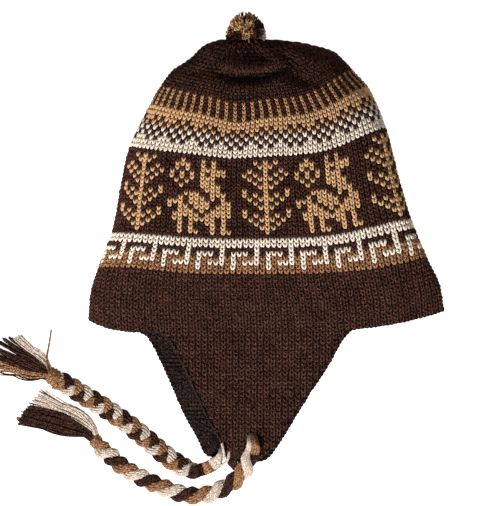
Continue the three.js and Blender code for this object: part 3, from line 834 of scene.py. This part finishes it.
def crown_stitches(cloth):
    """Frames of the shaped rows at the top, where the stitches grow fewer."""
    groups = []
    for k, (start, count) in enumerate(CROWN_SHAPING):
        end = CROWN_SHAPING[k + 1][0] if k + 1 < len(CROWN_SHAPING) else STRIPE_ROW
        for row in range(start, end):
            width = ROUND / count
            column = (np.arange(count) + (0.25 if count < ROUND else 0.0)) * width + COLUMN_SHIFT
            rows = np.full(count, row + 0.5)
            groups.append(cloth.frames(column, rows, width))
    return [np.concatenate(parts) for parts in zip(*groups)]


def band_frames(cloth, first, last):
    """Frames and yarns of the full rows from first up to last."""
    column, row = np.meshgrid(np.arange(ROUND), np.arange(first, last))
    column = column.ravel()
    row = row.ravel()
    return cloth.frames(column + COLUMN_SHIFT, row + 0.5), chart(column, row)


def flap_frames(cloth, near):
    """Frames of a flap's stitches: each column is as many rows long as its reach holds."""
    quarter = ROUND / 4
    first = -quarter if near else quarter
    columns = []
    rows = []
    for column in np.arange(first + 1, first + ROUND / 2) + COLUMN_SHIFT % 1:
        reach = min(cloth.blend(cloth.reach, column - 0.3), cloth.blend(cloth.reach, column + 0.3))
        count = int(reach / cloth.sizes.flap_row + 0.35)
        columns += [column] * count
        rows += [RIM_ROW + 0.5 + k for k in range(count)]
    return cloth.frames(np.array(columns), np.array(rows))


def turned_in(frames, wall):
    """The same stitches on the inner face of the wall."""
    centre, across, down, out = frames
    return centre - out * wall, -across, down, -out


def make_knit(name, groups, sizes, colours, rng, slot="knit"):
    """One piece from several groups of stitches, each with its yarns."""
    heap = Heap()
    for frames, yarn_of in groups:
        add_stitches(heap, frames, colours, yarn_of, 0.0, rng, floor=0.00015)
    return show(heap.build(name, yarns(colours)), slot=slot)


SHELL_DEPTH = 0.0019
SHELL_ROW = 2
SHELL_FLAP_ROWS = 16


def edge_rows(cloth, depth):
    """Rows of points of the cap at a depth under its outside, from the top to its edge."""
    count = cloth.grid.shape[1]
    column = np.arange(count) / cloth.STEPS - ROUND / 4
    rows = [np.full(count, float(r)) for r in range(1, RIM_ROW + 1, SHELL_ROW)]
    rows += [
        RIM_ROW + cloth.reach / cloth.sizes.flap_row * j / SHELL_FLAP_ROWS
        for j in range(1, SHELL_FLAP_ROWS + 1)
    ]
    result = []
    for row in rows:
        centre, _, _, out = cloth.frames(column, row)
        result.append(centre - out * depth)
    return result


def cap_shell(cloth, colours):
    """The fabric under the stitches, with its back on the inside, as one closed wall. Its near-black colour is
    painted shade that shows in the gaps between the stitches.
    """
    s = cloth.sizes
    outside = edge_rows(cloth, SHELL_DEPTH)
    inside = edge_rows(cloth, s.wall - 0.0004)
    count = len(outside[0])
    heap = Heap()
    faces = []
    points = []
    starts = {}
    for side, rows in (("out", outside), ("in", inside)):
        starts[side] = len(points)
        points.append(rows[0].mean(axis=0))
        for row in rows:
            points.extend(row)
    lip = len(points)
    for a, b in zip(outside[-1], inside[-1]):
        points.append((a + b) / 2)
    points = np.array(points)
    points[:, 2] = np.maximum(points[:, 2], 0.0004)
    i = np.arange(count)
    n = (i + 1) % count
    rows_count = len(outside)
    for side, flip in (("out", False), ("in", True)):
        pole = starts[side]
        ring = [pole + 1 + k * count for k in range(rows_count)]
        parts = [np.stack([np.full(count, pole), ring[0] + i, ring[0] + n], axis=1)]
        for k in range(rows_count - 1):
            parts.append(np.stack([ring[k] + i, ring[k + 1] + i, ring[k + 1] + n], axis=1))
            parts.append(np.stack([ring[k] + i, ring[k + 1] + n, ring[k] + n], axis=1))
        parts = np.concatenate(parts)
        faces.append(parts[:, ::-1] if flip else parts)
    out_edge = starts["out"] + 1 + (rows_count - 1) * count
    in_edge = starts["in"] + 1 + (rows_count - 1) * count
    faces.append(np.stack([out_edge + i, lip + i, lip + n], axis=1))
    faces.append(np.stack([out_edge + i, lip + n, out_edge + n], axis=1))
    faces.append(np.stack([lip + i, in_edge + i, in_edge + n], axis=1))
    faces.append(np.stack([lip + i, in_edge + n, lip + n], axis=1))
    faces = np.concatenate(faces)
    heap.add(points, faces, np.zeros((faces.size, 2)), 0)
    return show(heap.build("cap_fabric", [painted_shadow_lining(colours)]), "cap", slot="knit")


EDGE_STITCH = 0.0031
# Where the far hem hangs a little below the near one, at the left, and by how much; its edge stitches take the
# painted shade, so it shows as a dark line.
LOW_HEM = (-0.13, -0.085)
LOW_HEM_DROP = 0.0011


def edge_frames(cloth):
    """A chain of stitches along the edge of the rim and the flaps."""
    s = cloth.sizes
    count = cloth.grid.shape[1]
    column = np.arange(count) / cloth.STEPS - ROUND / 4
    row = RIM_ROW + cloth.reach / s.flap_row
    centre, _, _, out = cloth.frames(column, row)
    middle = centre - out * s.wall / 2
    closed = np.vstack([middle, middle[:1]])
    along = np.r_[0, np.cumsum(np.linalg.norm(np.diff(closed, axis=0), axis=1))]
    number = int(along[-1] / EDGE_STITCH)
    places = (np.arange(number) + 0.5) / number * along[-1]
    pick = lambda values: np.stack([np.interp(places, along, values[:, i]) for i in range(3)], axis=1)
    point = pick(closed)
    outward_face = pick(np.vstack([out, out[:1]]))
    ahead = np.roll(point, -1, axis=0) - np.roll(point, 1, axis=0)
    ahead /= np.linalg.norm(ahead, axis=1)[:, None]
    through = outward_face - ahead * np.sum(outward_face * ahead, axis=1)[:, None]
    through /= np.linalg.norm(through, axis=1)[:, None]
    away = np.cross(through, ahead)
    away = np.where(away[:, 1:2] > 0, -away, away)
    step = along[-1] / number
    share = np.clip((point[:, 0] - LOW_HEM[0]) / (LOW_HEM[1] - LOW_HEM[0]), 0, 1)
    hang = np.where(places > along[count // 2], LOW_HEM_DROP * np.sin(math.pi * share) ** 0.5, 0)
    point[:, 1] -= hang
    return point + away * s.edge_round, through * s.wall, ahead * step, away


# The ties, tassels and pompom

def braid(route, turns, roots, crests, order, shift, props, on_edge, hold, gather):
    """A braid of three strands along a route, each strand of several yarns. turns says how many times the
    first strand has come round at some lengths along the route, and roots where each strand comes out,
    aside and above the route. A braid on its edge shows the strands' one-sided slant.
    Returns its heap, its centreline and its length."""
    line, length = curve_points(route, 0.0011)
    ways = tangents(line)
    side = np.cross(ways, (0.0, 0.0, 1.0))
    side /= np.linalg.norm(side, axis=1)[:, None]
    rise = np.cross(side, ways)
    along = np.linspace(0, length, len(line))
    line = line + side * (shift * np.sin(math.pi * along / length) ** 0.8)[:, None]
    sink = (np.clip(1 - along / 0.0055, 0, 1) ** 1.8)[:, None]
    line = line - rise * sink * 0.0062
    marks = np.array(turns)
    turned = np.interp(along, marks[:, 0], marks[:, 1])
    step = (marks[-1, 1] - marks[-2, 1]) / (marks[-1, 0] - marks[-2, 0])
    turned = np.where(along > marks[-1, 0], marks[-1, 1] + step * (along - marks[-1, 0]), turned)
    tight = np.clip((along - hold) / gather, 0, 1)
    tight = (tight * tight * (3 - 2 * tight))[:, None]
    apart = (np.clip(along / 0.008, 0, 1) ** 0.7)[:, None]
    wide, high, fullness = (0.36, 0.29, props.near_fullness) if on_edge else (0.38, 0.28, props.far_fullness)
    half_width = props.width * wide
    half_height = props.thick * high
    swing = props.width * fullness / 2 - half_width
    lift = props.thick / 2 - half_height
    heap = Heap()
    for k, colour in enumerate(order):
        phase = 2 * math.pi * (turned - k / 3) + math.pi / 2
        if on_edge:
            aside, over = swing * (0.68 * np.cos(phase) + 0.43 * np.sin(2 * phase)), lift * np.sin(phase)
        else:
            aside, over = swing * np.sin(phase), lift * np.sin(2 * phase)
        start, later, above, slim, swollen = roots[k]
        full = slim + (1 - slim) * np.clip(along / swollen, 0, 1) ** 2.2
        aside = aside[:, None] * tight + (start + (later - start) * apart) * (1 - tight)
        over = over[:, None] * tight + above * (1 - tight)
        for rider, place, reach, height in crests:
            if rider == k:
                bump = np.exp(-(((along - place) / reach) ** 2))
                over = over + height * bump[:, None]
                full = full * (1 - (0.55 * bump if height < 0 else 0.0))
        strand = line + side * aside + rise * (over - sink * 0.002)
        for j in range(STRAND_YARNS + 1):
            if j < STRAND_YARNS:
                turn = 2 * math.pi * (j / STRAND_YARNS + along / 0.06) + k
                radius = props.strand_yarn
                path = (
                    strand
                    + side * ((half_width - radius) * full * np.cos(turn))[:, None]
                    + rise * ((half_height - radius) * full * np.sin(turn))[:, None]
                )
            else:
                radius = props.strand_yarn * 1.7
                path = strand.copy()
            path[:, 2] = np.maximum(path[:, 2], radius + 0.0001)
            add_yarn(heap, path, radius, colour, phase=2.1 * j + k)
    return heap, line, length


def loose_yarns(rows, name, props, colours):
    """The yarns that lie loose beside a braid's root."""
    heap = Heap()
    for colour, places in rows:
        path, _ = curve_points(places, 0.001)
        add_yarn(heap, path, props.strand_yarn * 1.2, colour)
    return show(heap.build(name, yarns(colours)), slot="braid_yarn")


def end_of(route):
    """The last point of a route and its level direction there."""
    line, _ = curve_points(route, 0.001)
    way = line[-1] - line[-3]
    way[2] = 0
    return line[-1], way / np.linalg.norm(way)


def winding(route, bulk, name, colours, node):
    """Tan yarn wound round the end of a braid, in tight uneven turns."""
    low, high = (np.array(v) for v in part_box(node))
    middle = (low + high) / 2
    _, way = end_of(route)
    side = np.cross(way, (0, 0, 1))
    up = np.array((0.0, 0.0, 1.0))
    length = 0.0085 * bulk
    thickness = 0.00085
    radius = ((high[2] - low[2]) / 2 - thickness) * bulk
    t = np.linspace(0, 1, 190)
    heap = Heap()
    for turns, lean, start in ((6, 0.0, 0.0), (3, 0.55, 2.0)):
        angle = 2 * math.pi * turns * t + start
        bulge = radius * (0.9 + 0.1 * np.sin(math.pi * t)) + thickness * lean
        shift = (t - 0.5) * (length - 2 * thickness) + lean * 0.0016 * np.cos(angle)
        path = (
            middle
            + way * shift[:, None]
            + side * (np.cos(angle) * bulge * 1.12)[:, None]
            + up * (np.sin(angle) * bulge * (1 - 0.12 * lean))[:, None]
        )
        path[:, 2] = np.maximum(path[:, 2], thickness + 0.0001)
        add_yarn(heap, path, thickness, TAN)
    core = middle + way * (np.linspace(-0.5, 0.5, 8) * length * 0.96)[:, None]
    add_yarn(heap, core, radius * 0.9, TAN)
    return show(heap.build(name, yarns(colours)), node, slot="binding_yarn")


# Bunches of a tassel's cut ends: yarn, number of ends, middle angle from the tie's direction and spread
# in degrees, shortest and longest reach in metres, and how far they bend aside as a share of that. The
# later a bunch stands, the higher it lies
FAR_ENDS = [
    (IVORY, 30, -17.5, 2.4, 0.034, 0.038, -0.03),
    (IVORY, 26, -13, 1.8, 0.034, 0.039, -0.02),
    (UMBER, 10, -10, 0.6, 0.039, 0.042, -0.02),
    (UMBER, 12, -5, 0.7, 0.042, 0.045, 0.0),
    (UMBER, 13, 0, 0.8, 0.043, 0.046, 0.0),
    (UMBER, 15, 7, 1.1, 0.043, 0.046, 0.0),
    (UMBER, 15, 13, 1.4, 0.041, 0.045, 0.01),
    (TAN, 9, 18.5, 1.8, 0.037, 0.043, 0.01),
    (TAN, 15, 25, 2.4, 0.036, 0.042, 0.01),
    (UMBER, 2, 31, 0.6, 0.038, 0.041, 0.02),
]
NEAR_ENDS = [
    (TAN, 6, 42, 0.8, 0.057, 0.061, 0.0),
    (TAN, 4, 44.5, 0.6, 0.052, 0.059, 0.02),
    (IVORY, 22, 18, 3.0, 0.048, 0.054, -0.06),
    (IVORY, 24, 24, 2.6, 0.049, 0.055, -0.05),
    (UMBER, 24, 31, 2.2, 0.05, 0.056, -0.1),
    (UMBER, 28, 35.5, 2.2, 0.051, 0.057, -0.05),
    (UMBER, 30, 39, 2.0, 0.052, 0.058, 0.0),
    (UMBER, 26, 42.5, 1.4, 0.052, 0.058, 0.02),
]
# A tan end of the far binding that strays to the top of the picture
STRAY_END = [
    (-0.1595, -0.1045, 0.0095), (-0.1624, -0.0985, 0.0086), (-0.1634, -0.0895, 0.0058),
    (-0.1618, -0.079, 0.0036), (-0.1604, -0.0688, 0.0022),
]


def tassel(route, ends, name, props, colours, node, rng):
    """Cut yarn ends that fan out over the surface from the winding."""
    point, way = end_of(route)
    root = point + way * 0.0066
    root[2] = props.thick / 2
    side = np.array((-way[1], way[0], 0.0))
    heap = Heap()
    angles = [row[2] for row in ends]
    for layer, (colour, count, middle, spread, short, long, bend) in enumerate(ends):
        share = 2 * (middle - min(angles)) / (max(angles) - min(angles)) - 1
        for _ in range(count):
            angle = math.radians(middle + float(np.clip(rng.normal(0, spread), -2 * spread, 2 * spread)))
            aim = way * math.cos(angle) + side * math.sin(angle)
            aside = np.array((-aim[1], aim[0], 0.0))
            reach = rng.uniform(short, long)
            start = rng.uniform(0, 2 * math.pi)
            bunch = props.thick * 0.38 * math.sqrt(rng.uniform(0.02, 1))
            across = props.thick * (0.33 * share + 0.12 * math.sin(start))
            t = np.linspace(0, 1, int(reach / 0.0014))
            line = root + (way * np.minimum(t, 0.1)[:, None] + aim * np.clip(t - 0.1, 0, 1)[:, None]) * reach
            puff = 1 + 0.9 * np.sin(math.pi * np.minimum(1, t * 1.5)) - 0.5 * t
            line = line + side * (across * puff)[:, None]
            bow = reach * bend * np.sin(math.pi * t) * 0.8
            wave = 0.0005 * np.sin(2 * math.pi * (t * rng.uniform(0.8, 1.8) + rng.uniform(0, 1))) * t
            line = line + aside * (bow + wave)[:, None]
            low = props.yarn + 0.0001
            height = root[2] + math.cos(start) * bunch
            pile = 0.5 * rng.uniform(0, 1) + 0.5 * layer / (len(ends) - 1)
            rest = low + pile * 0.0062 * (1 - 0.35 * t)
            fall = np.clip(t / 0.6, 0, 1) ** 0.8
            line[:, 2] = np.maximum(low, height * (1 - fall) + rest * fall)
            add_yarn(heap, line, props.yarn, colour, taper=0.75, phase=rng.uniform(0, 6))
    if node == "tassel_far":
        stray, _ = curve_points(STRAY_END, 0.0012)
        add_yarn(heap, stray, props.yarn * 1.15, TAN, taper=0.8)
    return show(heap.build(name, yarns(colours)), node, slot="tassel_yarn")


def pompom(props, colours, rng):
    """A tuft of cut yarn that stands on the crown's gather."""
    low, high = (np.array(v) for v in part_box("pompom"))
    centre = (low + high) / 2
    centre[1] = low[1]
    reach = np.array(((high[0] - low[0]) / 2, high[1] - centre[1], (high[2] - low[2]) / 2))
    heap = Heap()
    count = props.pompom_ends
    golden = math.pi * (3 - math.sqrt(5))
    for k in range(count):
        y = 1 - 1.08 * (k + 0.5) / count
        ring = math.sqrt(max(0, 1 - y * y))
        turn = golden * k
        aim = np.array((math.cos(turn) * ring, y, math.sin(turn) * ring))
        aim += rng.normal(0, 0.09, 3)
        aim /= np.linalg.norm(aim)
        tall = 1 / np.linalg.norm((aim / reach)) * rng.uniform(0.95, 1.0)
        foot = centre + aim * reach * np.array((0.62, -0.12, 0.62)) * rng.uniform(0.2, 1)
        tip = centre + aim * tall
        t = np.linspace(0, 1, 12)[:, None]
        curl = np.cross(aim, rng.normal(0, 1, 3)) * 0.0013
        line = foot + (tip - foot) * t + curl * np.sin(2.6 * t) * t
        line[:, 1] += 0.0016 * np.sin(math.pi * t[:, 0])
        if aim[0] > 0.84 and aim[1] < 0.4:
            colour = CREAM
        elif aim[0] > 0.34 or (aim[0] < -0.25 and aim[1] < 0.36):
            colour = COCOA
        elif aim[1] > 0.86 and k % 3 == 0:
            colour = COCOA
        else:
            colour = (GOLD, GOLD, BRONZE)[k % 3]
        add_yarn(heap, line, props.yarn * 0.9, colour, taper=0.6, phase=rng.uniform(0, 6))
    return show(heap.build("pompom_yarns", yarns(colours)), "pompom", slot="pompom_yarn")


# The stage

PHOTO_WIDTH_PX = 493
PHOTO_HEIGHT_PX = 506
PIXEL = 0.00074
PHOTO_CENTRE = (-0.0148, -0.01184)
SHARP_HEIGHT = 0.02
CAMERA_DISTANCE = 2.4


def make_camera():
    """A long lens straight above the hat, as the photo was taken."""
    data = bpy.data.cameras.new("camera")
    data.sensor_width = 36
    data.lens = data.sensor_width * CAMERA_DISTANCE / (PHOTO_HEIGHT_PX * PIXEL)
    camera = bpy.data.objects.new("camera", data)
    camera.location = (*PHOTO_CENTRE, SHARP_HEIGHT + CAMERA_DISTANCE)
    bpy.context.collection.objects.link(camera)
    bpy.context.scene.camera = camera


def make_floor():
    """A white board, lit from behind, that the hat lies on."""
    mesh = bpy.data.meshes.new("floor")
    size = 1.5
    mesh.from_pydata(
        [(-size, -size, 0), (size, -size, 0), (size, size, 0), (-size, size, 0)], [], [(0, 1, 2, 3)]
    )
    floor = bpy.data.objects.new("floor", mesh)
    floor.location.z = -0.0004
    bpy.context.collection.objects.link(floor)
    material = bpy.data.materials.new("pale_board")
    material.use_nodes = True
    nodes = material.node_tree.nodes
    shader = nodes["Principled BSDF"]
    shader.inputs["Roughness"].default_value = 0.85
    shader.inputs["Specular IOR Level"].default_value = 0.1
    shader.inputs["Emission Color"].default_value = (1, 1, 1, 1)
    shader.inputs["Emission Strength"].default_value = 0.95
    grain = nodes.new("ShaderNodeTexNoise")
    grain.inputs["Scale"].default_value = 40
    ramp = nodes.new("ShaderNodeValToRGB")
    ramp.color_ramp.elements[0].color = (0.9, 0.9, 0.9, 1)
    ramp.color_ramp.elements[1].color = (0.95, 0.95, 0.95, 1)
    material.node_tree.links.new(grain.outputs["Fac"], ramp.inputs["Fac"])
    material.node_tree.links.new(ramp.outputs["Color"], shader.inputs["Base Color"])
    mesh.materials.append(material)


LIGHTS = [
    # name, place, size, watts
    ("key_light", (-0.6, -1.15, 1.25), 0.35, 49.0),
    ("fill_light", (0.5, 0.3, 1.9), 1.2, 4.5),
]


def make_lights():
    """Studio light from the lower left, with a weaker fill from above."""
    for name, place, size, watts in LIGHTS:
        data = bpy.data.lights.new(name, "AREA")
        data.size = size
        data.energy = watts
        lamp = bpy.data.objects.new(name, data)
        lamp.location = place
        lamp.rotation_mode = "QUATERNION"
        lamp.rotation_quaternion = (Vector((0, 0, 0)) - Vector(place)).to_track_quat("-Z", "Y")
        bpy.context.collection.objects.link(lamp)
    world = bpy.data.worlds.new("studio")
    world.use_nodes = True
    world.node_tree.nodes["Background"].inputs["Color"].default_value = (1, 1, 1, 1)
    world.node_tree.nodes["Background"].inputs["Strength"].default_value = 0.13
    bpy.context.scene.world = world
    bpy.context.scene.view_settings.view_transform = "Standard"


class CHULLO_OT_stage(Operator):
    """Set up the camera, the floor and the light"""

    bl_idname = "chullo.stage"
    bl_label = "Stage"

    def execute(self, context):
        make_camera()
        make_floor()
        make_lights()
        return {"FINISHED"}


class CHULLO_OT_ties(Operator):
    """Braid both ties, wind their ends and fan out their tassels"""

    bl_idname = "chullo.ties"
    bl_label = "Ties and tassels"

    def execute(self, context):
        props = context.scene.chullo_ties
        colours = context.scene.chullo_yarn
        rng = np.random.default_rng(SEED)
        ties = [
            ("near", NEAR_ROUTE, (NEAR_TURNS, NEAR_ROOTS, NEAR_CRESTS), NEAR_LOOSE, (TAN, UMBER, IVORY),
             -0.0014, NEAR_ENDS, True, 0.0045, props.near_root),
            ("far", FAR_ROUTE, (FAR_TURNS, FAR_ROOTS, FAR_CRESTS), FAR_LOOSE, (IVORY, TAN, UMBER),
             0.0014, FAR_ENDS, False, 0.0195, props.far_root),
        ]
        for name, route, tables, loose, order, shift, ends, on_edge, hold, gather in ties:
            heap, line, length = braid(route, *tables, order, shift, props, on_edge, hold, gather)
            tie = show(heap.build(f"tie_{name}_braid", yarns(colours)), f"tie_{name}", slot="braid_yarn")
            bulk = 0.84 if on_edge else 1.15
            knot = winding(route, bulk, f"binding_{name}_yarn", colours, f"binding_{name}")
            tuft = tassel(route, ends, f"tassel_{name}_yarns", props, colours, f"tassel_{name}", rng)
            beside = loose_yarns(loose, f"tie_{name}_loose_yarns", props, colours)
        return {"FINISHED"}


class CHULLO_OT_fabric(Operator):
    """Lay the cap's fabric, the ground of its stitches"""

    bl_idname = "chullo.fabric"
    bl_label = "Cap fabric"

    def execute(self, context):
        cap_shell(Cloth(context.scene.chullo_sizes), context.scene.chullo_yarn)
        return {"FINISHED"}


class CHULLO_OT_crown(Operator):
    """Knit the crown, its stripes and the bands down to the rim"""

    bl_idname = "chullo.crown"
    bl_label = "Crown and bands"

    def execute(self, context):
        sizes = context.scene.chullo_sizes
        colours = context.scene.chullo_yarn
        cloth = Cloth(sizes)
        rng = np.random.default_rng(SEED + 1)
        shaped = crown_stitches(cloth)
        make_knit("crown_stitches", [(shaped, np.full(len(shaped[0]), COCOA))], sizes, colours, rng)
        bands = [
            ("stripe_band_stitches", STRIPE_ROW, FIGURE_ROW - 1),
            ("figure_band_stitches", FIGURE_ROW - 1, KEY_ROW),
            ("key_band_stitches", KEY_ROW, PLAIN_ROW),
            ("rim_stitches", PLAIN_ROW, RIM_ROW),
        ]
        for name, first, last in bands:
            make_knit(name, [band_frames(cloth, first, last)], sizes, colours, rng)
        return {"FINISHED"}


class CHULLO_OT_flaps(Operator):
    """Knit both faces of the ear flaps and the edge round the rim"""

    bl_idname = "chullo.flaps"
    bl_label = "Ear flaps and edge"

    def execute(self, context):
        sizes = context.scene.chullo_sizes
        colours = context.scene.chullo_yarn
        cloth = Cloth(sizes)
        rng = np.random.default_rng(SEED + 2)
        for name, near in (("near", True), ("far", False)):
            outer = flap_frames(cloth, near)
            plain = np.full(len(outer[0]), COCOA)
            inner = turned_in(outer, sizes.wall)
            # The flaps' inner faces take the painted shade: a darker brown that stands in for the shade they lie
            # in.
            inside = np.full(len(outer[0]), PAINTED_SHADE)
            make_knit(f"flap_{name}_stitches", [(outer, plain), (inner, inside)], sizes, colours, rng)
        edge = edge_frames(cloth)
        # The edge chain takes the painted shade: a darker brown that stands in for the shade along the rolled
        # edges.
        make_knit("edge_stitches", [(edge, np.full(len(edge[0]), PAINTED_SHADE))], sizes, colours, rng)
        return {"FINISHED"}


class CHULLO_OT_pompom(Operator):
    """Tie the pompom of cut yarn to the top of the crown"""

    bl_idname = "chullo.pompom"
    bl_label = "Pompom"

    def execute(self, context):
        pompom(context.scene.chullo_ties, context.scene.chullo_yarn, np.random.default_rng(SEED + 3))
        return {"FINISHED"}


OPERATORS = (
    CHULLO_OT_stage,
    CHULLO_OT_ties,
    CHULLO_OT_fabric,
    CHULLO_OT_crown,
    CHULLO_OT_flaps,
    CHULLO_OT_pompom,
)


class CHULLO_PT_panel(Panel):
    """The chullo's operators and sizes"""

    bl_label = "Chullo hat"
    bl_idname = "CHULLO_PT_panel"
    bl_space_type = "VIEW_3D"
    bl_region_type = "UI"
    bl_category = "Chullo"

    def draw(self, context):
        layout = self.layout
        for operator in OPERATORS:
            layout.operator(operator.bl_idname)
        for group in (context.scene.chullo_sizes, context.scene.chullo_yarn, context.scene.chullo_ties):
            box = layout.box()
            for name in group.__annotations__:
                box.prop(group, name)


GROUPS = {"chullo_sizes": ChulloSizes, "chullo_yarn": ChulloYarn, "chullo_ties": ChulloTies}
CLASSES = (*GROUPS.values(), *OPERATORS, CHULLO_PT_panel)


def register():
    for cls in CLASSES:
        bpy.utils.register_class(cls)
    for name, group in GROUPS.items():
        setattr(bpy.types.Scene, name, PointerProperty(type=group))


def unregister():
    for name in GROUPS:
        delattr(bpy.types.Scene, name)
    for cls in reversed(CLASSES):
        bpy.utils.unregister_class(cls)


def main():
    register()
    bpy.ops.chullo.stage()
    bpy.ops.chullo.ties()
    bpy.ops.chullo.fabric()
    bpy.ops.chullo.crown()
    bpy.ops.chullo.flaps()
    bpy.ops.chullo.pompom()


if __name__ == "__main__":
    main()
